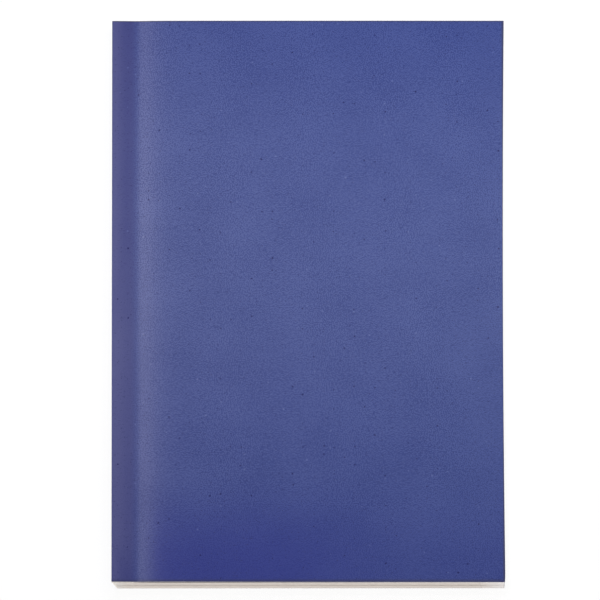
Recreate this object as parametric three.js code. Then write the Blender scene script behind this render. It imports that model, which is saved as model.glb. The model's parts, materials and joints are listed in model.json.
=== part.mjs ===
// A perfect bound softcover notebook, in millimetres, lying on its back cover with +Z up.
// The spine runs along Y on the -X side, the head is at +Y and the tail at -Y.
// The origin is the middle of the book's footprint, on the surface that it lies on.

import * as THREE from "three";

// Size of the trimmed book
const bookWidth = 152.4;
const bookHeight = 228.6;

// The leaves, and the air left between two sheets that lie on each other
const leafCount = 48;
const leafThickness = 0.15;
const sheetAir = 0.005;

// The cover card, one sheet that is scored and folded round the block
const cardThickness = 0.28;
const foldRadius = 0.5;
const hingeSetback = 9.6;

// The spine leans: its back fold lies further in than its front fold, and its front fold stands proud
const spineSetIn = 2.1;
const spineHeap = 0.16;

// The front panel springs up beside its score, then settles towards the fore-edge
const coverLift = 0.42;
const liftReach = 3.2;
const coverSettle = 0.34;

// Glue on the spine and under the hinge strips, and the hairline left between bonded faces
const spineGlueThickness = 0.55;
const sideGlueThickness = 0.06;
const sideGlueShort = 0.6;
const bondGap = 0.006;

// How the leaves turn: the top leaf leans furthest when the front cover is open
const topLeafOpening = 144;
const gutterMargin = 1.5;
const turnClearance = 0.004;
const rootGap = 0.02;

// Number of straight steps in a fold and along the sprung front panel
const foldSteps = 5;
const panelSteps = 26;

// Levels, from the table up
const leafPitch = leafThickness + sheetAir;
const blockBottom = cardThickness + sideGlueThickness;
const blockTop = blockBottom + leafCount * leafPitch - sheetAir;
const hingeLevel = blockTop + sideGlueThickness + cardThickness;
const spineTop = hingeLevel + spineHeap;

// Places across the book
const spineEdge = -bookWidth / 2;
const foreEdge = bookWidth / 2;
const frontHinge = spineEdge + hingeSetback;
const backHinge = spineEdge + spineSetIn + hingeSetback;

const card = new THREE.MeshStandardMaterial({ color: 0x535e94, roughness: 0.6, metalness: 0 });
const paper = new THREE.MeshStandardMaterial({ color: 0xd2c7bc, roughness: 0.85, metalness: 0 });
const glue = new THREE.MeshStandardMaterial({ color: 0xe4dcc4, roughness: 0.45, metalness: 0 });

// A flat outline, given as x across the book and z up, made as long as the book from tail to head.
function alongSpine(name, shape, material) {
  const geometry = new THREE.ExtrudeGeometry(shape, {
    depth: bookHeight,
    bevelEnabled: false,
    curveSegments: foldSteps,
  });
  geometry.rotateX(Math.PI / 2);
  geometry.translate(0, bookHeight / 2, 0);
  const mesh = new THREE.Mesh(geometry, material);
  mesh.name = name;
  return mesh;
}

function outline(points) {
  return new THREE.Shape(points.map(([x, z]) => new THREE.Vector2(x, z)));
}

// The spine panel leans, so the place of each of its faces depends on the level.
const spineLean = Math.atan2(spineSetIn, spineTop);

function behindSpine(z, depth) {
  return spineEdge + spineSetIn * (1 - z / spineTop) + depth / Math.cos(spineLean);
}

// Underside of the front hinge strip, which climbs from the score to the spine's front fold
function underFrontStrip(x) {
  return hingeLevel - cardThickness + (spineHeap * (frontHinge - x)) / hingeSetback;
}

// How far the front panel stands above its score, at a distance from it
function panelLift(distance) {
  const spring = distance / liftReach;
  const settled = distance / (foreEdge - frontHinge);
  return coverLift * (1 - (1 + spring) * Math.exp(-spring)) - coverSettle * settled ** 2;
}

// A point on the way from one corner of a fold to the next, one fold radius before the second
function shortOf(from, to) {
  const length = Math.hypot(to[0] - from[0], to[1] - from[1]);
  const share = foldRadius / length;
  return [to[0] + (from[0] - to[0]) * share, to[1] + (from[1] - to[1]) * share];
}

// The middle of the cover sheet: front hinge strip, spine panel and back hinge strip in one
function coverSpine() {
  const score = [frontHinge, hingeLevel];
  const frontFold = [spineEdge, spineTop];
  const backFold = [spineEdge + spineSetIn, 0];
  const backScore = [backHinge, 0];
  const shape = new THREE.Shape();
  shape.moveTo(...score);
  shape.lineTo(...shortOf(score, frontFold));
  shape.quadraticCurveTo(...frontFold, ...shortOf(backFold, frontFold));
  shape.lineTo(...shortOf(frontFold, backFold));
  shape.quadraticCurveTo(...backFold, ...shortOf(backScore, backFold));
  shape.lineTo(...backScore);
  shape.lineTo(backHinge, cardThickness);
  shape.lineTo(behindSpine(cardThickness, cardThickness), cardThickness);
  const innerFold = behindSpine(spineTop - cardThickness, cardThickness);
  shape.lineTo(innerFold, underFrontStrip(innerFold));
  shape.lineTo(frontHinge, hingeLevel - cardThickness);
  return alongSpine("cover_spine", shape, card);
}

// The front panel, a sheet of even thickness that follows the lift
function frontCover() {
  const upper = [];
  const lower = [];
  const reach = foreEdge - frontHinge;
  for (let i = 0; i <= panelSteps; i++) {
    const distance = reach * (i / panelSteps) ** 2;
    const level = hingeLevel + panelLift(distance);
    upper.push([frontHinge + distance, level]);
    lower.unshift([frontHinge + distance, level - cardThickness]);
  }
  return alongSpine("front_cover", outline([...upper, ...lower]), card);
}

function backCover() {
  const shape = outline([
    [backHinge, 0],
    [foreEdge, 0],
    [foreEdge, cardThickness],
    [backHinge, cardThickness],
  ]);
  return alongSpine("back_cover", shape, card);
}

// The layer of glue on the leaves' back edges, between them and the spine panel
function spineGlue() {
  const near = cardThickness + bondGap;
  const far = cardThickness + spineGlueThickness;
  const shape = outline([
    [behindSpine(blockBottom, near), blockBottom],
    [behindSpine(blockBottom, far), blockBottom],
    [behindSpine(blockTop, far), blockTop],
    [behindSpine(blockTop, near), blockTop],
  ]);
  return alongSpine("spine_glue", shape, glue);
}

// The thin glue under the front hinge strip, thicker at the spine, where the strip climbs
function frontSideGlue() {
  const inner = behindSpine(blockTop + bondGap, cardThickness + bondGap);
  const outer = frontHinge - sideGlueShort;
  const shape = outline([
    [inner, blockTop + bondGap],
    [outer, blockTop + bondGap],
    [outer, underFrontStrip(outer) - bondGap],
    [inner, underFrontStrip(inner) - bondGap],
  ]);
  return alongSpine("front_side_glue", shape, glue);
}

function backSideGlue() {
  const inner = behindSpine(cardThickness, cardThickness + bondGap);
  const outer = backHinge - sideGlueShort;
  const shape = outline([
    [inner, cardThickness + bondGap],
    [outer, cardThickness + bondGap],
    [outer, blockBottom - bondGap],
    [inner, blockBottom - bondGap],
  ]);
  return alongSpine("back_side_glue", shape, glue);
}

// Top face of a leaf, counted from the front cover
function leafTop(number) {
  return blockTop - (number - 1) * leafPitch;
}

// Angle at which a leaf ends when the front cover is fully open, in radians
function leafOpening(number) {
  return THREE.MathUtils.degToRad(topLeafOpening * (1 - (number - 1) / leafCount));
}

// Each leaf turns about its upper edge at the gutter. The next leaf's edge lies further from the
// spine, by just what keeps a whole sheet's thickness between the two at their furthest lean.
function leafRoot(number) {
  let place = frontHinge + gutterMargin;
  for (let above = 1; above < number; above++) {
    const lean = leafOpening(above);
    const needed = leafThickness + turnClearance - leafPitch * Math.cos(lean);
    place += Math.max(0, needed / Math.sin(lean));
  }
  return place;
}

function leaf(number) {
  const width = foreEdge - leafRoot(number);
  const mesh = new THREE.Mesh(new THREE.BoxGeometry(width, bookHeight, leafThickness), paper);
  mesh.name = "leaf_" + String(number).padStart(2, "0");
  mesh.position.set(foreEdge - width / 2, 0, leafTop(number) - leafThickness / 2);
  return mesh;
}

// The leaves' bound margins, gripped by the glue, with one step where each leaf begins
function boundEdge() {
  const depth = cardThickness + spineGlueThickness + bondGap;
  const points = [
    [behindSpine(blockBottom, depth), blockBottom],
    [leafRoot(leafCount) - rootGap, blockBottom],
  ];
  for (let number = leafCount; number >= 1; number--) {
    const edge = leafRoot(number) - rootGap;
    points.push([edge, leafTop(number)]);
    if (number > 1 && leafRoot(number - 1) < leafRoot(number)) {
      points.push([leafRoot(number - 1) - rootGap, leafTop(number)]);
    }
  }
  points.push([behindSpine(blockTop, depth), blockTop]);
  return alongSpine("bound_edge", outline(points), paper);
}

const cover = new THREE.Group();
cover.add(frontCover(), coverSpine(), backCover());

const binding = new THREE.Group();
binding.add(spineGlue(), frontSideGlue(), backSideGlue(), boundEdge());

const leaves = new THREE.Group();
for (let number = 1; number <= leafCount; number++) leaves.add(leaf(number));

const notebook = new THREE.Group();
notebook.add(cover, binding, leaves);

export default notebook;
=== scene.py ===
# %% [markdown]
# # A perfect bound notebook
# The object is a softcover notebook in portrait form: one sheet of blue recycled card, scored and folded
# round a block of forty-eight heavy sheets that are glued together along the spine. It lies on its back
# cover. The spine is on the left, the head points away from the reader and the tail edge of the leaves
# shows below the front cover.
#
# The solids of the construction model are loaded first. They say where every piece is and how it moves,
# and the looks are built round them.

# %% Load the construction model
import json
import math
import random

import bpy
from mathutils import Matrix, Vector


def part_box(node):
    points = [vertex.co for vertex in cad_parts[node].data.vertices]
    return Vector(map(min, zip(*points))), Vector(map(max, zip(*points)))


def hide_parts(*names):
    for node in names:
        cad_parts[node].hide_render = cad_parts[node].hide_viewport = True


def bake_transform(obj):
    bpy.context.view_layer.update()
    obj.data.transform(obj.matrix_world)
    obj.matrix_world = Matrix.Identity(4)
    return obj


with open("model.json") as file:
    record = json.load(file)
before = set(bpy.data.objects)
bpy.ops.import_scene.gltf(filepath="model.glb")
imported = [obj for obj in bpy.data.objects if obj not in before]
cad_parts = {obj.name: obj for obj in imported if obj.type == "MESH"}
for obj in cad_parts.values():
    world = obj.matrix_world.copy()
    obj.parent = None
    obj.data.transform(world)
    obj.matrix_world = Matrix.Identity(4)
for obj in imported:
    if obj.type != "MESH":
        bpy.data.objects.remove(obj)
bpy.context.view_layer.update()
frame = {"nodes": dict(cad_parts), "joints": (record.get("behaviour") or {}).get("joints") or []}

MM = 0.001

# %% [markdown]
# ## Places taken from the construction model
# Nothing is measured twice. The scores, the card's thickness and the levels of the block all come from
# the boxes of the solids, so the pieces made here stay where the joints are.

# %% Measure the solids
back_low, back_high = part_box("back_cover")
joint_of = {joint["child"]: joint for joint in frame["joints"]}
FRONT_SCORE = joint_of["front_cover"]["pos_m"]
BACK_SCORE = joint_of["back_cover"]["pos_m"]
CARD = back_high.z - back_low.z
TAIL, HEAD = back_low.y, back_high.y
FORE_EDGE = back_high.x
SPINE_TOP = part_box("cover_spine")[1].z
HINGE_SETBACK = 9.6 * MM
SPINE_FRONT = FRONT_SCORE[0] - HINGE_SETBACK
SPINE_BACK = BACK_SCORE[0] - HINGE_SETBACK
LEAVES = sorted(name for name in frame["nodes"] if name.startswith("leaf_"))
print("leaves:", len(LEAVES), "card, mm:", round(CARD / MM, 3))
print("level of the front score, mm:", round(FRONT_SCORE[2] / MM, 3))

# %% [markdown]
# ## Small helpers for modelling by hand
# Blender's operators act on whatever is selected. These helpers clear the selection, open a mesh for
# editing, pick points by their place and cut a mesh along a plane, which is what one does with the mouse
# in the window.

# %% Selection helpers
REST_PLACE = "rest_place"


def only(piece):
    """Makes one object the selected and active one."""
    bpy.ops.object.select_all(action="DESELECT")
    piece.select_set(True)
    bpy.context.view_layer.objects.active = piece


def pick(piece, test):
    """In edit mode, selects the vertices whose place passes the test."""
    bpy.ops.object.mode_set(mode="OBJECT")
    for vertex in piece.data.vertices:
        vertex.select = bool(test(vertex.co))
    for edge in piece.data.edges:
        edge.select = all(piece.data.vertices[i].select for i in edge.vertices)
    for face in piece.data.polygons:
        face.select = all(piece.data.vertices[i].select for i in face.vertices)
    bpy.ops.object.mode_set(mode="EDIT")


def move(offset):
    bpy.ops.transform.translate(value=offset, orient_type="GLOBAL")


def cut(axis, place):
    """In edit mode, cuts the whole mesh at one place along x or y."""
    bpy.ops.mesh.select_all(action="SELECT")
    point, normal = [0, 0, 0], [0, 0, 0]
    point["xyz".index(axis)] = place
    normal["xyz".index(axis)] = 1
    bpy.ops.mesh.bisect(plane_co=point, plane_no=normal)


def settle(piece):
    """Puts the piece's place and size into its mesh."""
    only(piece)
    bpy.ops.object.transform_apply(location=True, rotation=True, scale=True)


def shaped(piece, kind, **settings):
    """Adds a modifier with its settings and applies it."""
    only(piece)
    modifier = piece.modifiers.new(kind.title(), kind)
    for name, value in settings.items():
        setattr(modifier, name, value)
    bpy.ops.object.modifier_apply(modifier=modifier.name)


def remember_place(piece):
    """Keeps each vertex's place at rest as an attribute, so a pattern stays put when the sheet bends."""
    kept = piece.data.attributes.new(REST_PLACE, "FLOAT_VECTOR", "POINT")
    for vertex, entry in zip(piece.data.vertices, kept.data):
        entry.vector = vertex.co


def map_in_metres(piece):
    """Gives each face a flat map at true size, so a pattern keeps its scale and bends with the sheet."""
    remember_place(piece)
    only(piece)
    bpy.ops.object.mode_set(mode="EDIT")
    bpy.ops.mesh.select_all(action="SELECT")
    true_size = {"cube_size": 1, "correct_aspect": False, "clip_to_bounds": False, "scale_to_bounds": False}
    bpy.ops.uv.cube_project(**true_size)
    bpy.ops.object.mode_set(mode="OBJECT")


# %% [markdown]
# ## Node helpers
# A material is a small graph. `node` adds one node and fills its sockets, where a value may be a number,
# a colour or another node's output, so that a graph can be written down the page in reading order. The
# short helpers below it stand for the few nodes that every finish here uses.

# %% Node helpers
def feed(tree, socket, value):
    """Links another node's output to a socket, or sets the socket's own value."""
    if isinstance(value, bpy.types.NodeSocket):
        tree.links.new(value, socket)
    else:
        socket.default_value = value


def node(tree, kind, settings=None, **sockets):
    """Adds a node. A socket goes by its name, with _ for each space, or by its number, as in i0."""
    made = tree.nodes.new(kind)
    for name, value in (settings or {}).items():
        setattr(made, name, value)
    for name, value in sockets.items():
        numbered = name[0] == "i" and name[1:].isdigit()
        feed(tree, made.inputs[int(name[1:]) if numbered else name.replace("_", " ")], value)
    return made


def math_node(tree, operation, a, b=0.0):
    return node(tree, "ShaderNodeMath", {"operation": operation}, i0=a, i1=b).outputs[0]


def minus(tree, a, b):
    return math_node(tree, "SUBTRACT", a, b)


def times(tree, first, *others):
    for other in others:
        first = math_node(tree, "MULTIPLY", first, other)
    return first


def plus(tree, first, *others):
    for other in others:
        first = math_node(tree, "ADD", first, other)
    return first


def largest(tree, first, *others):
    for other in others:
        first = math_node(tree, "MAXIMUM", first, other)
    return first


def vector_node(tree, operation, a, b):
    """Adds two vectors, or scales the first by a number."""
    second = {"Scale": b} if operation == "SCALE" else {"i1": b}
    return node(tree, "ShaderNodeVectorMath", {"operation": operation}, i0=a, **second).outputs[0]


# %% [markdown]
# Colours are given as one reads them off a screen, and turned into the linear values that a shader takes.
# A ramp is a smooth step between two limits. A sheet's pattern reads the place that each point has when
# the book is closed.

# %% Helpers for ramps, colours and places
def ramp(tree, value, low, high, to_low=0.0, to_high=1.0):
    """A smooth step from one value to another."""
    made = node(tree, "ShaderNodeMapRange", {"interpolation_type": "SMOOTHSTEP"}, Value=value)
    made.inputs["From Min"].default_value = low
    made.inputs["From Max"].default_value = high
    made.inputs["To Min"].default_value = to_low
    made.inputs["To Max"].default_value = to_high
    return made.outputs["Result"]


def mix_colour(tree, share, a, b):
    """From the first colour to the second, by a share from 0 to 1."""
    return node(tree, "ShaderNodeMix", {"data_type": "RGBA"}, i0=share, i6=a, i7=b).outputs[2]


def rest_vector(tree):
    return node(tree, "ShaderNodeAttribute", {"attribute_name": REST_PLACE}).outputs["Vector"]


def place_at_rest(tree):
    """The three coordinates that a point of a sheet has when the book is closed."""
    return node(tree, "ShaderNodeSeparateXYZ", Vector=rest_vector(tree)).outputs


def srgb(red, green, blue):
    """A screen colour from 0 to 255 as the linear colour that a shader takes."""
    def linear(level):
        level /= 255
        return level / 12.92 if level <= 0.04045 else ((level + 0.055) / 1.055) ** 2.4
    return (linear(red), linear(green), linear(blue), 1)


def new_material(name):
    """A new material, its graph and the shader in it."""
    material = bpy.data.materials.new(name)
    material.use_nodes = True
    tree = material.node_tree
    return material, tree, tree.nodes["Principled BSDF"]


def give_bump(tree, shader, height, strength, depth):
    """Lets a height pattern tilt the surface, by up to a depth in metres."""
    bump = node(tree, "ShaderNodeBump", Height=height, Strength=strength, Distance=depth)
    feed(tree, shader.inputs["Normal"], bump.outputs[0])


# %% [markdown]
# ## What recycled stock looks like
# Recycled card and paper are made of short, unsorted fibre. Close up one sees three things: a cloudy
# mottle where the pulp is thicker or thinner, small flecks of old ink, and single fibres that lie on the
# face. The cover and the leaves share them, so the three become one node group.
#
# The mottle is three noises added up: a grain as fine as the fibres, a softer one and wide clouds. Each is
# given by its scale, in patches per metre, its detail and its share in the sum. Most of a noise lies
# between 0.35 and 0.65, so most ramps go from the one to the other.

# %% Mottle of the pulp
FINE_GRAIN = (2600, 0, 0.7)
SOFT_GRAIN = (800, 2, 0.16)
CLOUDS = (45, 2, 0.14)
LOW, HIGH = 0.35, 0.65


def pulp_mottle(tree, place):
    """The mottle, and by themselves the fine and the soft grain in it."""
    found, shares = [], []
    for scale, detail, share in (FINE_GRAIN, SOFT_GRAIN, CLOUDS):
        noise = node(tree, "ShaderNodeTexNoise", Vector=place, Scale=scale, Detail=detail).outputs[0]
        found.append(noise)
        shares.append(times(tree, noise, share))
    return plus(tree, *shares), found[0], found[1]


# %% [markdown]
# Flecks are the middles of scattered cells, and only some cells have one. The place is warped first, so
# that no fleck is a round dot, and each cell's random colour gives its fleck's size and whether it shows.
# Three kinds lie over each other, moved apart so that they don't coincide: plain specks of ink, finer and
# fainter ones, and a few pale specks of unprinted paper. A radius counts in cells.

# %% Flecks in the pulp
BIG_FLECKS = {"per_metre": 250, "radius": 0.061, "offset": (0.83, 0.29, 0)}
SMALL_FLECKS = {"per_metre": 800, "radius": 0.13, "offset": (0.11, 0.73, 0)}
PALE_FLECKS = {"per_metre": 330, "radius": 0.09, "offset": (0.57, 0.41, 0)}
SMALL_MORE, SMALL_FAINTER, PALE_FEWER = 2.2, 0.55, 0.4
SMALLEST_FLECK = 0.45
WARPS_PER_METRE, WARP_REACH = 1200, 0.5 * MM


def scattered_cells(tree, place, per_metre):
    """Distance to the middle of the nearest cell, and that cell's random numbers."""
    flat = {"voronoi_dimensions": "2D"}
    cells = node(tree, "ShaderNodeTexVoronoi", flat, Vector=place, Scale=per_metre).outputs
    return cells["Distance"], node(tree, "ShaderNodeSeparateColor", Color=cells["Color"]).outputs


def flecks(tree, place, share, per_metre, radius, offset):
    moved = vector_node(tree, "ADD", place, offset)
    warp = node(tree, "ShaderNodeTexNoise", Vector=moved, Scale=WARPS_PER_METRE, Detail=1).outputs[1]
    bent = vector_node(tree, "ADD", moved, vector_node(tree, "SCALE", warp, WARP_REACH))
    distance, chance = scattered_cells(tree, bent, per_metre)
    size = times(tree, plus(tree, chance[1], SMALLEST_FLECK), radius)
    near = math_node(tree, "LESS_THAN", distance, size)
    return times(tree, near, math_node(tree, "LESS_THAN", chance[0], share))


def ink_flecks(tree, place, share):
    big = flecks(tree, place, share, **BIG_FLECKS)
    small = flecks(tree, place, times(tree, share, SMALL_MORE), **SMALL_FLECKS)
    return largest(tree, big, times(tree, small, SMALL_FAINTER))


def pale_flecks(tree, place, share):
    return flecks(tree, place, times(tree, share, PALE_FEWER), **PALE_FLECKS)


# %% [markdown]
# A fibre is such a fleck drawn out: the place is turned and squeezed along one axis, and a noise curls it.
# Three directions together look unsorted.

# %% Fibres on the face
FIBRE_LAYERS = ((0.4, (0.2, 0.1, 0)), (1.7, (0.5, 0.3, 0)), (2.6, (0.9, 0.7, 0)))
FIBRES_PER_METRE, FIBRE_RADIUS = 260, 0.13
FIBRE_SQUEEZE = (1, 5.5, 1)
FIBRE_CURL = 2.2 * MM


def fibre_layer(tree, place, share, turn, offset):
    turned = node(tree, "ShaderNodeMapping", Vector=place, Location=offset, Rotation=(0, 0, turn),
                  Scale=FIBRE_SQUEEZE).outputs[0]
    curl = node(tree, "ShaderNodeTexNoise", Vector=turned, Scale=FIBRES_PER_METRE, Detail=1).outputs[1]
    bent = vector_node(tree, "ADD", turned, vector_node(tree, "SCALE", curl, FIBRE_CURL))
    distance, chance = scattered_cells(tree, bent, FIBRES_PER_METRE)
    near = math_node(tree, "LESS_THAN", distance, FIBRE_RADIUS)
    return times(tree, near, math_node(tree, "LESS_THAN", chance[0], share))


def fibres(tree, place, share):
    layers = [fibre_layer(tree, place, share, turn, offset) for turn, offset in FIBRE_LAYERS]
    return largest(tree, *layers)


# %% [markdown]
# The group takes a place and says how many flecks and fibres there are. It gives out masks only, and each
# material colours them its own way. Its height is the relief of the grain, with the fibres a little proud.

# %% Node group: recycled pulp
GRAIN_RELIEF, SOFT_RELIEF, FIBRE_RELIEF = 0.6, 0.4, 0.12
FEW_FLECKS, SOME_FIBRES = 0.15, 0.3


def recycled_pulp():
    tree = bpy.data.node_groups.new("recycled_pulp", "ShaderNodeTree")
    face = tree.interface
    face.new_socket("Vector", in_out="INPUT", socket_type="NodeSocketVector")
    for name, value in (("Fleck Share", FEW_FLECKS), ("Fibre Share", SOME_FIBRES)):
        face.new_socket(name, in_out="INPUT", socket_type="NodeSocketFloat").default_value = value
    for name in ("Mottle", "Dark Fleck", "Light Fleck", "Fibre", "Height"):
        face.new_socket(name, in_out="OUTPUT", socket_type="NodeSocketFloat")
    given = tree.nodes.new("NodeGroupInput").outputs
    result = tree.nodes.new("NodeGroupOutput").inputs
    place = given["Vector"]
    mottle, fine, soft = pulp_mottle(tree, place)
    threads = fibres(tree, place, given["Fibre Share"])
    relief = plus(tree, times(tree, fine, GRAIN_RELIEF), times(tree, soft, SOFT_RELIEF))
    feed(tree, result["Mottle"], mottle)
    feed(tree, result["Dark Fleck"], ink_flecks(tree, place, given["Fleck Share"]))
    feed(tree, result["Light Fleck"], pale_flecks(tree, place, given["Fleck Share"]))
    feed(tree, result["Fibre"], threads)
    feed(tree, result["Height"], plus(tree, relief, times(tree, threads, FIBRE_RELIEF)))
    return tree


PULP = recycled_pulp()
print("node group:", PULP.name, len(PULP.nodes), "nodes")


def pulp_pattern(tree, fleck_share=FEW_FLECKS, fibre_share=SOME_FIBRES):
    """The pulp's masks, laid on a piece by its own flat map."""
    flat = node(tree, "ShaderNodeUVMap").outputs[0]
    shares = {"Fleck_Share": fleck_share, "Fibre_Share": fibre_share}
    return node(tree, "ShaderNodeGroup", {"node_tree": PULP}, Vector=flat, **shares).outputs


# %% [markdown]
# ## The cover card
# The card is blue on its faces and has a soft satin sheen, because its face was smoothed under rollers.
# That skin is the shader's coat, whose weight may change from place to place: it is uneven at the size of
# the fibres, thin places shine less, and a fleck of old ink is a dull pit.
#
# Two places differ from the plain face. The strip between the spine and the score is pressed flat when the
# book is glued and rubbed by hands, which leaves it rougher and duller. Its colour is darker and greyer
# than the panel, partly from that rubbing and partly as painted shade where it falls to the score, and
# painted light makes it lighter along the spine and in the lower half. The foot of the panel is duller, and
# painted shade makes it darker and more violet.

# %% Where the card is rubbed, and where shade and light are painted on it
STRIP_END, STRIP_FADE = 0.4 * MM, 2.4 * MM
SPINE_LIT, SPINE_LIT_SHARE = 6 * MM, 0.85
STRIP_LIT_LOW, STRIP_LIT_HIGH, STRIP_LIT_FADE = -94 * MM, 8 * MM, 50 * MM
STRIP_LIT_NEAR, STRIP_LIT_FAR, STRIP_LIT_LEAST = 2 * MM, 7.5 * MM, 0.55
FOOT_HIGH, FOOT_LOW = 46 * MM, 6 * MM
FOOT_NEAR, FOOT_FULL = 0.6 * MM, 11 * MM
FOOT_FADE, FOOT_END, FOOT_LEAST = 48 * MM, 110 * MM, 0.3


# The strip's mask carries its rubbing, and the painted shade in its colour.
def rubbed_and_shaded_strip(tree, x):
    """1 on the hinge strip and 0 on the panel."""
    strip_end = FRONT_SCORE[0] - STRIP_END
    return ramp(tree, x, strip_end + STRIP_FADE, strip_end - STRIP_FADE)


# Painted light: the strip is made lighter along the spine and in the lower half.
def lit_strip(tree, x, y):
    """How much painted light lightens the strip: along the spine, and in the lower half."""
    below = ramp(tree, y, STRIP_LIT_HIGH + STRIP_LIT_FADE / 2, STRIP_LIT_HIGH - STRIP_LIT_FADE / 2)
    above_tail = ramp(tree, y, TAIL, STRIP_LIT_LOW)
    across = ramp(tree, x, SPINE_FRONT + STRIP_LIT_FAR, SPINE_FRONT + STRIP_LIT_NEAR, STRIP_LIT_LEAST, 1)
    along_spine = ramp(tree, x, SPINE_FRONT + SPINE_LIT, SPINE_FRONT, 0, SPINE_LIT_SHARE)
    return largest(tree, times(tree, below, above_tail, across), along_spine)


# Painted shade: the foot of the panel is darker and more violet, fading upwards.
def shaded_foot(tree, x, y):
    """1 at the foot of the panel, fading upwards, towards the score and towards the fore-edge."""
    from_score = minus(tree, x, FRONT_SCORE[0])
    fore = ramp(tree, from_score, FOOT_END, FOOT_FADE, FOOT_LEAST, 1)
    near = ramp(tree, from_score, FOOT_NEAR, FOOT_FULL)
    low = ramp(tree, y, TAIL + FOOT_HIGH, TAIL + FOOT_LOW)
    return times(tree, fore, near, low)


# %% [markdown]
# Along the trimmed edges the knife has bruised the blue, so a fine darker line follows them, and a wider
# darker band runs along the tail.

# %% Where the knife bruised the card
EDGE_WIDTH, EDGE_INNER, EDGE_SHARE = 0.6 * MM, 0.24 * MM, 0.82
TAIL_WIDTH, TAIL_SHARE = 1.6 * MM, 0.65


def from_ends(tree, y):
    """Distance from the head or the tail, whichever is nearer."""
    return minus(tree, HEAD, math_node(tree, "ABSOLUTE", y))


def bruised_edge(tree, x, y):
    side = minus(tree, FORE_EDGE, x)
    inwards = math_node(tree, "MINIMUM", from_ends(tree, y), side)
    rim = ramp(tree, inwards, EDGE_WIDTH, EDGE_INNER, 0, EDGE_SHARE)
    tail_rim = ramp(tree, y, TAIL + TAIL_WIDTH, TAIL + TAIL_WIDTH / 3, 0, TAIL_SHARE)
    return largest(tree, rim, tail_rim)


# %% [markdown]
# The colour is laid on in layers: the dyed pulp with its mottle, then the painted shade at the foot and the
# strip with its rubbing, painted shade and painted light, then the fibres and flecks, which stay visible
# through that, and at last the bruised edge.

# %% Colour of the card
CARD_BLUE = srgb(26, 49, 124)
CARD_CLOUD = srgb(47, 68, 142)
# The foot's colour is painted shade.
CARD_FOOT_SHADE = srgb(36, 42, 138)
CARD_EDGE = srgb(38, 42, 84)
# The strip's darker colour is its rubbing and painted shade; its lighter colour is painted light.
CARD_RUBBED_AND_SHADED = srgb(56, 59, 122)
CARD_STRIP_LIT = srgb(76, 78, 133)
FLECK_INK = srgb(10, 14, 84)
FLECK_PALE = srgb(100, 114, 172)
CARD_FLECKS, CARD_FIBRES = 0.1, 0.16
THIN_PULP, THICK_PULP = 0.44, 0.56
FOOT_SHARE, STRIP_SHARE = 0.5, 0.85
FIBRE_SHARE, PALE_SHARE, INK_SHARE = 0.3, 0.3, 0.9


def card_colour(tree, x, y, pulp, marks):
    # The strip's colour: rubbing with painted shade, turning to painted light along the spine and low down.
    strip_wear_and_light = mix_colour(tree, lit_strip(tree, x, y), CARD_RUBBED_AND_SHADED, CARD_STRIP_LIT)
    cloud = ramp(tree, pulp["Mottle"], THIN_PULP, THICK_PULP)
    colour = mix_colour(tree, cloud, CARD_BLUE, CARD_CLOUD)
    # Painted shade at the foot.
    colour = mix_colour(tree, times(tree, marks["foot"], FOOT_SHARE), colour, CARD_FOOT_SHADE)
    colour = mix_colour(tree, times(tree, marks["strip"], STRIP_SHARE), colour, strip_wear_and_light)
    colour = mix_colour(tree, marks["fibre"], colour, FLECK_INK)
    colour = mix_colour(tree, times(tree, pulp["Light Fleck"], PALE_SHARE), colour, FLECK_PALE)
    colour = mix_colour(tree, marks["ink"], colour, FLECK_INK)
    return mix_colour(tree, bruised_edge(tree, x, y), colour, CARD_EDGE)


# %% [markdown]
# The sheen is a satin coat over a card that itself hardly shines. Whatever is dull takes a share of the
# coat away: ink and fibres, the rubbed strip and the foot. What is the same all over, the coat's
# roughness and the card's own shine, is set on the shader.

# %% Material: blue recycled card
SHEEN_THIN, SHEEN_THICK = 0.19, 0.37
SHEEN_UNDER = 0.08
SHEEN_ROUGHNESS, STRIP_ROUGHER = 0.3, 0.14
FIBRE_DULL, FOOT_DULL, STRIP_DULL = 1.57, 0.52, 0.3
CARD_BUMP, CARD_RELIEF = 0.3, 0.03 * MM


def card_sheen(tree, pulp, marks):
    thickness = ramp(tree, pulp["Mottle"], THIN_PULP, THICK_PULP, SHEEN_THIN, SHEEN_THICK)
    dull = largest(tree, marks["ink"], times(tree, marks["fibre"], FIBRE_DULL),
                   times(tree, marks["foot"], FOOT_DULL), times(tree, marks["strip"], STRIP_DULL))
    return times(tree, thickness, minus(tree, 1, dull))


def blue_card():
    material, tree, shader = new_material("blue_recycled_card")
    x, y, _ = place_at_rest(tree)
    pulp = pulp_pattern(tree, CARD_FLECKS, CARD_FIBRES)
    marks = {
        "strip": rubbed_and_shaded_strip(tree, x),
        "foot": shaded_foot(tree, x, y),
        "fibre": times(tree, pulp["Fibre"], FIBRE_SHARE),
        "ink": times(tree, pulp["Dark Fleck"], INK_SHARE),
    }
    feed(tree, shader.inputs["Base Color"], card_colour(tree, x, y, pulp, marks))
    feed(tree, shader.inputs["Coat Weight"], card_sheen(tree, pulp, marks))
    shader.inputs["Coat Roughness"].default_value = SHEEN_ROUGHNESS
    shader.inputs["Specular IOR Level"].default_value = SHEEN_UNDER
    rougher = times(tree, marks["strip"], STRIP_ROUGHER)
    feed(tree, shader.inputs["Roughness"], plus(tree, SHEEN_ROUGHNESS, rougher))
    give_bump(tree, shader, pulp["Height"], CARD_BUMP, CARD_RELIEF)
    return material


# %% [markdown]
# Where the knife opens the card, its pale core shows between the two blue faces. It is the same pulp
# without the dye, torn a little by the cut.

# %% Material: core of the card
CORE_PALE = srgb(214, 210, 209)
CORE_DARK = srgb(190, 186, 188)
CORE_SMOOTH, CORE_ROUGH = 0.8, 0.95
CORE_BUMP, CORE_RELIEF = 0.3, 0.05 * MM


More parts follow.
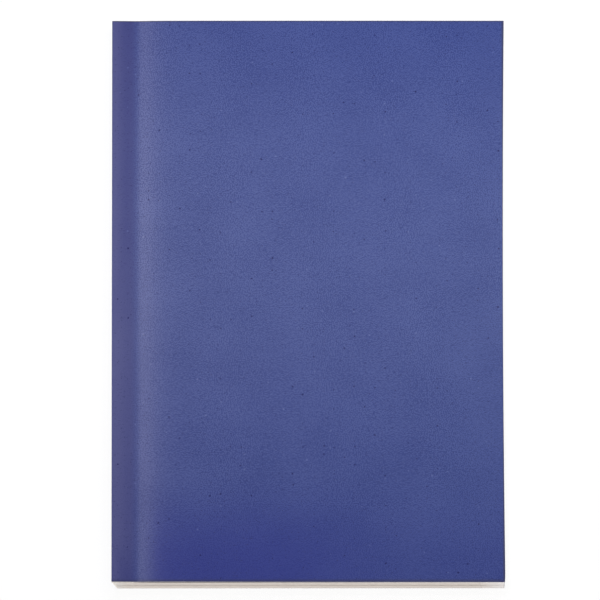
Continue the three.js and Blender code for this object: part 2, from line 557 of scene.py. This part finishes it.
def pale_core():
    material, tree, shader = new_material("pale_card_core")
    pulp = pulp_pattern(tree)
    colour = mix_colour(tree, ramp(tree, pulp["Mottle"], 0.4, 0.6), CORE_DARK, CORE_PALE)
    feed(tree, shader.inputs["Base Color"], colour)
    feed(tree, shader.inputs["Roughness"], ramp(tree, pulp["Mottle"], LOW, HIGH, CORE_SMOOTH, CORE_ROUGH))
    give_bump(tree, shader, pulp["Height"], CORE_BUMP, CORE_RELIEF)
    return material


# %% [markdown]
# ## The leaves' paper
# The leaves are warm grey recycled paper. Seen on the trimmed edge, the block is not one tone: sheets
# from different reels differ a little, and a few lines lie deeper because the knife pushed them. The tone
# therefore follows the height in the block, in layers drawn from a noise that is stretched flat, with one
# darker line just below its middle, which is painted shade where the pushed sheets lie deeper.

# %% Tone of the block
PAPER_WARM = srgb(211, 202, 193)
PAPER_COOL = srgb(199, 191, 185)
# This colour is used for the fibres, and for the painted shade line in the block.
PAPER_SHADE_AND_FIBRE = srgb(184, 174, 165)
LAYER_SCALE = (6, 6, 900)
BLOCK_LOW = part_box(LEAVES[-1])[0].z
BLOCK_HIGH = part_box(LEAVES[0])[1].z
SHADE_LINE_DEPTH = 0.53
SHADE_LINE_LEVEL = BLOCK_HIGH - SHADE_LINE_DEPTH * (BLOCK_HIGH - BLOCK_LOW)
SHADE_LINE_REACH, SHADE_LINE_CORE, SHADE_LINE_SHARE = 0.8 * MM, 0.1 * MM, 0.85


def block_tone(tree, z):
    stretched = node(tree, "ShaderNodeMapping", Vector=rest_vector(tree), Scale=LAYER_SCALE).outputs[0]
    layers = node(tree, "ShaderNodeTexNoise", Vector=stretched, Scale=1, Detail=3, Roughness=0.6).outputs[0]
    colour = mix_colour(tree, ramp(tree, layers, LOW, HIGH), PAPER_WARM, PAPER_COOL)
    # Painted shade: a darker line where the pushed sheets lie deeper.
    from_shade_line = math_node(tree, "ABSOLUTE", minus(tree, z, SHADE_LINE_LEVEL))
    return mix_colour(tree, ramp(tree, from_shade_line, SHADE_LINE_REACH, SHADE_LINE_CORE, 0, SHADE_LINE_SHARE), colour, PAPER_SHADE_AND_FIBRE)


# %% [markdown]
# On the cut faces at head and tail the paper is paler at the fore-edge, as a painted highlight where light
# catches the sheets' ends, and where glue has crept in, at the spine. The pages themselves have only the
# pulp's flecks and fibres.

# %% Material: recycled paper
PAPER_INK = srgb(150, 138, 128)
# The paler colour at the fore-edge is a painted highlight.
PAPER_LIT_FORE_EDGE = srgb(227, 223, 221)
PAPER_GLUED = srgb(217, 215, 212)
CUT_DEPTH = 0.5 * MM
LIT_FORE_REACH, LIT_FORE_SHARE = 12 * MM, 0.8
GLUED_REACH, GLUED_SHARE = 8 * MM, 0.65
PAPER_FLECKS, PAPER_FIBRES = 0.07, 0.12
PAPER_INK_SHARE, PAPER_FIBRE_SHARE = 0.3, 0.2
PAPER_SMOOTH, PAPER_ROUGH = 0.82, 0.92
PAPER_BUMP, PAPER_RELIEF = 0.25, 0.05 * MM


def cut_face_tone(tree, x, y, colour):
    cut_face = ramp(tree, from_ends(tree, y), CUT_DEPTH, CUT_DEPTH / 2)
    # Painted highlight: paler towards the fore-edge, where light catches the sheets' ends.
    lit_fore_edge = ramp(tree, x, FORE_EDGE - LIT_FORE_REACH, FORE_EDGE, 0, LIT_FORE_SHARE)
    colour = mix_colour(tree, times(tree, lit_fore_edge, cut_face), colour, PAPER_LIT_FORE_EDGE)
    glued = ramp(tree, x, SPINE_FRONT + GLUED_REACH, SPINE_FRONT, 0, GLUED_SHARE)
    return mix_colour(tree, times(tree, glued, cut_face), colour, PAPER_GLUED)


def recycled_paper():
    material, tree, shader = new_material("warm_grey_recycled_paper")
    x, y, z = place_at_rest(tree)
    pulp = pulp_pattern(tree, PAPER_FLECKS, PAPER_FIBRES)
    colour = cut_face_tone(tree, x, y, block_tone(tree, z))
    colour = mix_colour(tree, times(tree, pulp["Dark Fleck"], PAPER_INK_SHARE), colour, PAPER_INK)
    colour = mix_colour(tree, times(tree, pulp["Fibre"], PAPER_FIBRE_SHARE), colour, PAPER_SHADE_AND_FIBRE)
    feed(tree, shader.inputs["Base Color"], colour)
    roughness = ramp(tree, pulp["Mottle"], LOW, HIGH, PAPER_SMOOTH, PAPER_ROUGH)
    feed(tree, shader.inputs["Roughness"], roughness)
    give_bump(tree, shader, pulp["Height"], PAPER_BUMP, PAPER_RELIEF)
    return material


# %% [markdown]
# ## The glue
# Hot-melt glue is a milky, slightly yellow plastic with a waxy shine. Only its ends show, at the head and
# the tail of the spine. Its solids are right as they are, so they only get this finish.

# %% Material: binding glue
GLUE_LIGHT = srgb(222, 216, 206)
GLUE_SHADE = srgb(203, 196, 185)
STREAKS_PER_METRE = 700
GLUE_SMOOTH, GLUE_ROUGH = 0.38, 0.55
GLUE_BUMP, GLUE_RELIEF = 0.3, 0.1 * MM


def milky_glue():
    material, tree, shader = new_material("milky_binding_glue")
    place = node(tree, "ShaderNodeTexCoord").outputs["Object"]
    streaks = node(tree, "ShaderNodeTexNoise", Vector=place, Scale=STREAKS_PER_METRE, Detail=3).outputs[0]
    colour = mix_colour(tree, ramp(tree, streaks, LOW, HIGH), GLUE_LIGHT, GLUE_SHADE)
    feed(tree, shader.inputs["Base Color"], colour)
    feed(tree, shader.inputs["Roughness"], ramp(tree, streaks, 0.3, 0.7, GLUE_SMOOTH, GLUE_ROUGH))
    give_bump(tree, shader, streaks, GLUE_BUMP, GLUE_RELIEF)
    return material


# %% [markdown]
# ## The four finishes
# Each finish is made once and shared. The glue's solids take theirs here, and the sheets take theirs when
# they are made.

# %% Make the finishes and dress the glue
CARD_FINISH = blue_card()
CORE_FINISH = pale_core()
PAPER_FINISH = recycled_paper()
GLUE_FINISH = milky_glue()
for name in ("spine_glue", "front_side_glue", "back_side_glue"):
    solid = frame["nodes"][name]
    solid.data.materials.clear()
    solid.data.materials.append(GLUE_FINISH)
print("materials:", CARD_FINISH.name, CORE_FINISH.name, PAPER_FINISH.name, GLUE_FINISH.name)

# %% [markdown]
# ## The front of the cover
# Front panel, hinge strip and spine panel are one sheet of card, so they are modelled as one: a plane at
# the card's outer face, cut across at the score and along the curve beside it, lifted row by row, then
# extruded down for the spine panel. Solidify gives the card its thickness inwards, and a fine bevel takes
# the knife's sharpness off the cut edges. One more cut just inside each edge holds the shading of the flat
# face, which would otherwise lean into the bevel.

# %% Shape of the front panel
LIFT = 0.42 * MM
LIFT_REACH = 3.2 * MM
SETTLE = 0.34 * MM
SCORE_DROP = 0.05 * MM
EDGE_DIP, EDGE_REACH = 0.045 * MM, 2 * MM
FOLD = 0.5 * MM
FOLD_STEPS = 6
DOME_POWER = 2.5


def panel_rise(distance):
    """How far the front panel has climbed from its score, which the wheel pressed down a little."""
    spring = distance / LIFT_REACH
    settled = distance / (FORE_EDGE - FRONT_SCORE[0])
    climb = (LIFT + SCORE_DROP) * (1 - (1 + spring) * math.exp(-spring))
    return climb - SETTLE * settled ** 2


def strip_rise(distance):
    """How far the hinge strip stands above the score: it domes over beside the spine, then falls."""
    share = distance / HINGE_SETBACK
    fall = (SPINE_TOP - FRONT_SCORE[2] + SCORE_DROP) * (1 - share ** DOME_POWER) ** 2
    return fall - EDGE_DIP * math.exp(-distance / EDGE_REACH)


def front_level(x):
    """Height of the card's outer face at a place across the front."""
    score = FRONT_SCORE[0]
    rise = panel_rise(x - score) if x >= score else strip_rise(x - SPINE_FRONT)
    return FRONT_SCORE[2] - SCORE_DROP + rise


def fold_path(before, corner, after, start=0.0, stop=1.0):
    """Points along a rounded fold between two straight runs, or along a part of it."""
    run_in = (before - corner).normalized() * FOLD
    run_out = (after - corner).normalized() * FOLD
    points = []
    for step in range(FOLD_STEPS + 1):
        t = start + (stop - start) * step / FOLD_STEPS
        points.append(corner + run_in * (1 - t) ** 2 + run_out * t ** 2)
    return points


print("front level at the spine, score and fore-edge, mm:",
      [round(front_level(x) / MM, 3) for x in (SPINE_FRONT, FRONT_SCORE[0], FORE_EDGE)])

# %% [markdown]
# A long cut in a soft block is never quite straight, because the paper gives way before the knife. On this
# book the fore-edge is hollow by half a millimetre in the middle. Covers and leaves are trimmed in one
# cut, so they all follow the same line. The corner at the tail is a little worn, and beside the spine the
# front's tail edge stands a third of a millimetre back. A piece's last rows and columns lie a quarter of a
# millimetre inside its edges, and move along with them.

# %% Trim of the fore-edge
HOLLOW = 0.63 * MM
BLOCK_INSET = 0.17 * MM
CORNER_WEAR, CORNER_REACH = 0.2 * MM, 1.5 * MM
OUT_OF_SQUARE = 0.32 * MM
HOLDING = 0.25 * MM
NEAR_ENOUGH = 0.01 * MM
SAME_PLACE = 0.001 * MM
SKEW_POWER = 2.5


def trim(y):
    """How far the fore-edge stands out from its mean line, at a height on the page."""
    strip_wear_and_light = CORNER_WEAR * math.exp((TAIL - y) / CORNER_REACH)
    return HOLLOW * ((y / HEAD) ** 2 - 1 / 3) - strip_wear_and_light


def tail_skew(x):
    """How far the front's tail edge falls short of the leaves at a place across the book."""
    return OUT_OF_SQUARE * (1 - (x - SPINE_FRONT) / (FORE_EDGE - SPINE_FRONT)) ** SKEW_POWER


def trim_fore_edge(piece, inset=0.0):
    """Moves the rows of a piece's fore-edge to the knife's line, or a little inside it."""
    only(piece)
    edge = FORE_EDGE - HOLDING - NEAR_ENOUGH
    rows = {round(vertex.co.y, 6) for vertex in piece.data.vertices if vertex.co.x > edge}
    for y in sorted(rows):
        pick(piece, lambda co: abs(co.y - y) < NEAR_ENOUGH and co.x > edge)
        move((trim(y) - inset, 0, 0))
    bpy.ops.object.mode_set(mode="OBJECT")


print("fore-edge at the tail, middle and head, mm:", [round(trim(y) / MM, 2) for y in (TAIL, 0, HEAD)])

# %% [markdown]
# Both halves of the cover start in the same way: a plane as wide as the half, cut into rows from tail to
# head, and later extruded round its fold. The rows are closer at the tail, where the corner is worn.

# %% Helpers for a sheet of card
TOP_FOLD = Vector((SPINE_FRONT, 0, SPINE_TOP))
BACK_FOLD = Vector((SPINE_BACK, 0, 0))
ROWS = 24
CORNER_ROWS = (0.8 * MM, 1.6 * MM, 3.2 * MM)
CUT_EDGE_BEVEL = 0.05 * MM


def open_sheet(name, left, level):
    """A plane from one place across the book to the fore-edge, cut into rows from tail to head."""
    bpy.ops.object.select_all(action="DESELECT")
    middle = ((left + FORE_EDGE) / 2, (TAIL + HEAD) / 2, level)
    bpy.ops.mesh.primitive_plane_add(size=1, location=middle)
    piece = bpy.context.object
    piece.name = name
    piece.scale = (FORE_EDGE - left, HEAD - TAIL, 1)
    settle(piece)
    bpy.ops.object.mode_set(mode="EDIT")
    for row in range(1, ROWS):
        cut("y", TAIL + (HEAD - TAIL) * row / ROWS)
    for place in (TAIL + HOLDING, HEAD - HOLDING):
        cut("y", place)
    for row in CORNER_ROWS:
        cut("y", TAIL + row)
    return piece


def extrude_along(piece, edge_x, points):
    """Extrudes the edge at one place across the book from point to point."""
    pick(piece, lambda co: abs(co.x - edge_x) < SAME_PLACE)
    for here, there in zip(points, points[1:]):
        bpy.ops.mesh.extrude_edges_move(TRANSFORM_OT_translate={"value": tuple(there - here)})
    bpy.ops.object.mode_set(mode="OBJECT")


def card_body(piece):
    """Gives an open sheet the card's thickness inwards, eases its cut edges and maps it."""
    piece.data.materials.append(CARD_FINISH)
    piece.data.materials.append(CORE_FINISH)
    thicken = {"thickness": CARD, "offset": -1, "use_even_offset": True, "material_offset_rim": 1}
    shaped(piece, "SOLIDIFY", **thicken)
    ease = {"width": CUT_EDGE_BEVEL, "segments": 2, "limit_method": "ANGLE"}
    shaped(piece, "BEVEL", angle_limit=math.radians(60), **ease)
    only(piece)
    bpy.ops.object.shade_smooth_by_angle(angle=math.radians(35))
    map_in_metres(piece)
    return piece


# %% [markdown]
# The front sheet is cut into columns that are close together on the hinge strip and beside the score, where
# the card curves, and wider towards the fore-edge. Each column is then lifted to its level, and the tail
# edge is skewed, before the fold is extruded.

# %% Model the front sheet
STRIP_STEP, STRIP_COLUMNS = 0.6 * MM, 14
CREASE_STEP, CREASE_COLUMNS = 0.2 * MM, 12
PANEL_COLUMNS, PANEL_SPREAD = 34, 1.7


def front_columns():
    """Places of the cuts across the front, from the hinge strip to the fore-edge."""
    score = FRONT_SCORE[0]
    crease_end = CREASE_COLUMNS * CREASE_STEP
    panel = FORE_EDGE - score - crease_end
    across = [score - STRIP_STEP * step for step in range(1, STRIP_COLUMNS + 1)]
    across += [score + CREASE_STEP * step for step in range(CREASE_COLUMNS)]
    for step in range(1, PANEL_COLUMNS):
        across.append(score + crease_end + panel * (step / PANEL_COLUMNS) ** PANEL_SPREAD)
    return across + [FORE_EDGE - HOLDING]


def lift_columns(piece):
    """Lifts each column to its level, and draws in the tail edge."""
    tail_rows = TAIL + HOLDING + NEAR_ENOUGH
    for place in sorted({round(vertex.co.x, 7) for vertex in piece.data.vertices}):
        pick(piece, lambda co: abs(co.x - place) < SAME_PLACE)
        move((0, 0, front_level(place) - FRONT_SCORE[2]))
        pick(piece, lambda co: abs(co.x - place) < SAME_PLACE and co.y < tail_rows)
        move((0, tail_skew(place), 0))
    bpy.ops.object.mode_set(mode="OBJECT")


def front_sheet():
    start = SPINE_FRONT + FOLD
    piece = open_sheet("front_cover_sheet", start, FRONT_SCORE[2])
    for place in front_columns():
        cut("x", place)
    bpy.ops.object.mode_set(mode="OBJECT")
    lift_columns(piece)
    trim_fore_edge(piece)
    score_point = Vector((FRONT_SCORE[0], 0, FRONT_SCORE[2]))
    arc = fold_path(score_point, TOP_FOLD, BACK_FOLD)
    seam = fold_path(TOP_FOLD, BACK_FOLD, Vector((BACK_SCORE[0], 0, 0)), 0.0, 0.5)
    arc[0] = Vector((start, 0, front_level(start)))
    extrude_along(piece, start, arc + seam)
    return piece


sheet_front = card_body(front_sheet())
print(sheet_front.name, len(sheet_front.data.polygons), "faces")

# %% [markdown]
# ## The back of the cover
# The back panel and the back hinge strip are the other half of the same sheet. They lie flat on the table
# and turn up round the back fold, where they meet the spine panel.

# %% Model the back sheet
BESIDE_SCORE = 0.45 * MM
BACK_CREASE_COLUMNS, BACK_COLUMNS = 10, 16


def back_columns():
    """Places of the cuts across the back, from beside the score to the fore-edge."""
    score = BACK_SCORE[0]
    across = [score - BESIDE_SCORE]
    across += [score + CREASE_STEP * step for step in range(BACK_CREASE_COLUMNS)]
    across += [score + (FORE_EDGE - score) * step / BACK_COLUMNS for step in range(1, BACK_COLUMNS)]
    return across + [FORE_EDGE - HOLDING]


def back_sheet():
    start = SPINE_BACK + FOLD
    piece = open_sheet("back_cover_sheet", start, 0)
    for place in back_columns():
        cut("x", place)
    bpy.ops.mesh.select_all(action="SELECT")
    bpy.ops.mesh.flip_normals()
    bpy.ops.object.mode_set(mode="OBJECT")
    trim_fore_edge(piece, BLOCK_INSET)
    seam = fold_path(Vector((BACK_SCORE[0], 0, 0)), BACK_FOLD, TOP_FOLD, 0.0, 0.5)
    seam[0] = Vector((start, 0, 0))
    extrude_along(piece, start, seam)
    return piece


sheet_back = card_body(back_sheet())
print(sheet_back.name, len(sheet_back.data.polygons), "faces")

# %% [markdown]
# ## The leaves
# Every leaf is one sheet from the glue to the fore-edge. One leaf is modelled: a thin block, cut where it
# flexes beside the glue and across the page. Its glued edge follows the lean of the spine.

# %% Model the first leaf
FLEX = 1.3 * MM
FLEX_STEPS = 6
PAGE_STEPS = 12
BOUND_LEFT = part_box("bound_edge")[0].x
LEAN = (SPINE_BACK - SPINE_FRONT) / SPINE_TOP


def glued_edge(level):
    """Place of a leaf's glued edge, which follows the leaning spine."""
    return BOUND_LEFT + LEAN * (BLOCK_HIGH - level)


def first_leaf():
    low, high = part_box(LEAVES[0])
    left = glued_edge((low.z + high.z) / 2)
    bpy.ops.object.select_all(action="DESELECT")
    middle = ((left + high.x) / 2, (low.y + high.y) / 2, (low.z + high.z) / 2)
    bpy.ops.mesh.primitive_cube_add(size=1, location=middle)
    piece = bpy.context.object
    piece.name = "sheet_01"
    piece.scale = (high.x - left, high.y - low.y, high.z - low.z)
    settle(piece)
    bpy.ops.object.mode_set(mode="EDIT")
    for step in range(FLEX_STEPS + 1):
        cut("x", low.x + FLEX * step / FLEX_STEPS)
    for step in range(1, PAGE_STEPS):
        cut("x", low.x + FLEX + (high.x - low.x - FLEX) * step / PAGE_STEPS)
        cut("y", low.y + (high.y - low.y) * step / PAGE_STEPS)
    bpy.ops.object.mode_set(mode="OBJECT")
    trim_fore_edge(piece, BLOCK_INSET)
    return piece


pattern_leaf = first_leaf()
print(pattern_leaf.name, len(pattern_leaf.data.polygons), "faces")

# %% [markdown]
# The other leaves are copies with their own mesh. Each copy is lowered to its level, its flexing stretch is
# moved to where its joint is, and its glued edge to where the spine is there.

# %% Helper for a copied leaf
def copied_leaf(pattern, number):
    """A copy of the first leaf at another place in the block, with its own root and trim."""
    piece = pattern.copy()
    piece.data = pattern.data.copy()
    piece.name = f"sheet_{number:02d}"
    bpy.context.collection.objects.link(piece)
    first_low, first_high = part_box(LEAVES[0])
    low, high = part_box(LEAVES[number - 1])
    only(piece)
    bpy.ops.object.mode_set(mode="EDIT")
    bpy.ops.mesh.select_all(action="SELECT")
    move((0, 0, high.z - first_high.z))
    flexing = (first_low.x - NEAR_ENOUGH, first_low.x + FLEX + NEAR_ENOUGH)
    pick(piece, lambda co: flexing[0] < co.x < flexing[1])
    move((low.x - first_low.x, 0, 0))
    pick(piece, lambda co: co.x < first_low.x - NEAR_ENOUGH)
    move((glued_edge((low.z + high.z) / 2) - glued_edge((first_low.z + first_high.z) / 2), 0, 0))
    bpy.ops.object.mode_set(mode="OBJECT")
    return piece


# %% [markdown]
# The trimmed edges differ by a few hundredths of a millimetre from sheet to sheet, and a few sheets lie a
# little deeper, which draws the fine dark line along the tail.

# %% Copy, trim and dress the leaves
random.seed(11)
TRIM_SCATTER = 0.035 * MM
PUSHED_LEAF, PUSHED_SPREAD, PUSHED_DEPTH = 28, 1.6, 0.14 * MM


def trimmed(piece, number):
    """Moves the three trimmed edges by the scatter of the knife."""
    only(piece)
    low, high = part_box(LEAVES[number - 1])
    pushed = PUSHED_DEPTH * math.exp(-((number - PUSHED_LEAF) / PUSHED_SPREAD) ** 2)
    pick(piece, lambda co: co.y < low.y + NEAR_ENOUGH)
    move((0, pushed + random.uniform(0, TRIM_SCATTER), 0))
    pick(piece, lambda co: co.y > high.y - NEAR_ENOUGH)
    move((0, -random.uniform(0, TRIM_SCATTER), 0))
    pick(piece, lambda co: co.x > high.x - MM)
    move((-random.uniform(0, 2 * TRIM_SCATTER), 0, 0))
    bpy.ops.object.mode_set(mode="OBJECT")


sheets = [pattern_leaf]
for number in range(2, len(LEAVES) + 1):
    sheets.append(copied_leaf(pattern_leaf, number))
for number, sheet in enumerate(sheets, 1):
    trimmed(sheet, number)
    map_in_metres(sheet)
    sheet.data.materials.append(PAPER_FINISH)
print("leaves made:", len(sheets))

# %% [markdown]
# ## The sheets in place of the solids
# The card bends at its scores and each leaf bends beside the glue. Each sheet's place is put into its mesh,
# and the sheets stand for the rigid solids of the construction model, which are hidden.


def bends(piece):
    """Puts the sheet's place into its mesh."""
    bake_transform(piece)


bends(sheet_front)
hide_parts("front_cover", "cover_spine")
bends(sheet_back)
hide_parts("back_cover")
for name, sheet in zip(LEAVES, sheets):
    bends(sheet)
    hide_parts(name)
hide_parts("bound_edge")
print("sheets that bend:", 2 + len(sheets))

# %% [markdown]
# ## The floor
# The floor is white and only there to take the shadow. For the camera it is mostly see-through, so the
# white behind it is the world's, its shadow stays light, and a cover that opens below the table line is
# still seen. The lamps shine through it for the same reason, and from below it isn't there at all. A
# reflection sees the world's white through it too. For soft light that bounces it is a plain white surface,
# which brightens the page edges from below.

# %% Lay the floor
FLOOR_WHITE = (0.9, 0.9, 0.9, 1)
FLOOR_CLEAR = (0.9, 0.9, 0.9, 1)
FLOOR_VEIL = (0.16, 0.16, 0.16, 1)


def floor_finish():
    material = bpy.data.materials.new("white_floor")
    material.use_nodes = True
    tree = material.node_tree
    tree.nodes.clear()
    clear = node(tree, "ShaderNodeBsdfTransparent", Color=FLOOR_CLEAR).outputs[0]
    veil = node(tree, "ShaderNodeBsdfDiffuse", Color=FLOOR_VEIL).outputs[0]
    seen = node(tree, "ShaderNodeAddShader", i0=clear, i1=veil).outputs[0]
    solid = node(tree, "ShaderNodeBsdfDiffuse", Color=FLOOR_WHITE).outputs[0]
    rays = node(tree, "ShaderNodeLightPath").outputs
    through = largest(tree, rays["Is Camera Ray"], rays["Is Shadow Ray"], rays["Is Glossy Ray"])
    above = node(tree, "ShaderNodeMixShader", i0=through, i1=solid, i2=seen).outputs[0]
    below = node(tree, "ShaderNodeBsdfTransparent").outputs[0]
    from_below = node(tree, "ShaderNodeNewGeometry").outputs["Backfacing"]
    mixed = node(tree, "ShaderNodeMixShader", i0=from_below, i1=above, i2=below).outputs[0]
    node(tree, "ShaderNodeOutputMaterial", Surface=mixed)
    return material


bpy.ops.object.select_all(action="DESELECT")
bpy.ops.mesh.primitive_plane_add(size=3, location=(0, 0, -0.05 * MM))
floor = bpy.context.object
floor.name = "floor"
floor.data.materials.append(floor_finish())
print("floor:", floor.name, "with", floor.data.materials[0].name)

# %% [markdown]
# ## Light
# The world gives a low even light, and camera, glossy and transmission rays see it as plain white. A wide
# lamp hangs close over the upper half of the book: its reflection lies across the cover above the middle,
# and its light falls off towards the tail. A small one helps it on the right. A distant lamp on the left
# draws the bright band where the panel springs up beside the score, and a low one before the tail lights
# the page edges. One straight below lights the underside, for a look at the back.

# %% Light the scene
def world_light(strength):
    world = bpy.data.worlds.new("even_white")
    bpy.context.scene.world = world
    world.use_nodes = True
    tree = world.node_tree
    tree.nodes.clear()
    rays = node(tree, "ShaderNodeLightPath").outputs
    seen = largest(tree, rays["Is Camera Ray"], rays["Is Glossy Ray"], rays["Is Transmission Ray"])
    level = ramp(tree, seen, 0, 1, strength, 1)
    light = node(tree, "ShaderNodeBackground", Color=(1, 1, 1, 1), Strength=level)
    node(tree, "ShaderNodeOutputWorld", Surface=light.outputs[0])


def lamp(name, place, aim, size, power, tint=(1, 1, 1)):
    bpy.ops.object.light_add(type="AREA", location=place)
    made = bpy.context.object
    made.name = name
    made.data.shape = "RECTANGLE"
    made.data.size, made.data.size_y = size
    made.data.energy = power
    made.data.color = tint
    made.rotation_euler = (Vector(aim) - Vector(place)).to_track_quat("-Z", "Y").to_euler()
    made.visible_camera = False
    return made


WORLD_STRENGTH = 0.25
world_light(WORLD_STRENGTH)
head_tint, left_tint = (0.94, 1, 1), (1, 0.9, 1)
lamp("head_softbox", (0.08, 0.131, 0.339), (0.08, 0.022, 0), (0.6, 0.14), 0.82, head_tint)
lamp("right_softbox", (0.1, 0.075, 0.34), (0.07, -0.032, 0), (0.1, 0.24), 0.08, head_tint)
lamp("left_softbox", (-0.57, 0.88, 2.83), (0, 0, 0), (0.3, 0.3), 15.2, left_tint)
lamp("tail_softbox", (0, -1, 0.04), (0, -0.114, 0.004), (0.8, 0.06), 6.25)
lamp("under_softbox", (0, 0, -1), (0, 0, 0), (0.4, 0.4), 5.5)
print("lamps:", len(bpy.data.lights))

# %% [markdown]
# ## The camera
# The picture is taken from the tail side, 17.3 degrees from straight above, through a long lens: the
# spine edge stays upright and head and tail are almost equally wide. The camera is a hair out of level.

# %% Place the camera
TILT = math.radians(17.3)
ROLL = math.radians(-0.045)
LENS = 1600
PIXELS_PER_MM = 2.572
FRAME_PIXELS = 600
SENSOR = 36
field = FRAME_PIXELS / PIXELS_PER_MM * MM
distance = field * LENS / SENSOR
aim = Vector((-2.92 * MM, 0.3 * MM, FRONT_SCORE[2]))
bpy.ops.object.camera_add(location=aim + distance * Vector((0, -math.sin(TILT), math.cos(TILT))))
camera = bpy.context.object
camera.name = "photo_camera"
turn = Matrix.Rotation(TILT, 3, "X") @ Matrix.Rotation(ROLL, 3, "Z")
camera.rotation_euler = turn.to_euler()
camera.data.lens = LENS
camera.data.sensor_width = SENSOR
camera.data.clip_end = 2 * distance
bpy.context.scene.camera = camera
bpy.context.scene.view_settings.view_transform = "Standard"
print("camera distance, m:", round(distance, 3))
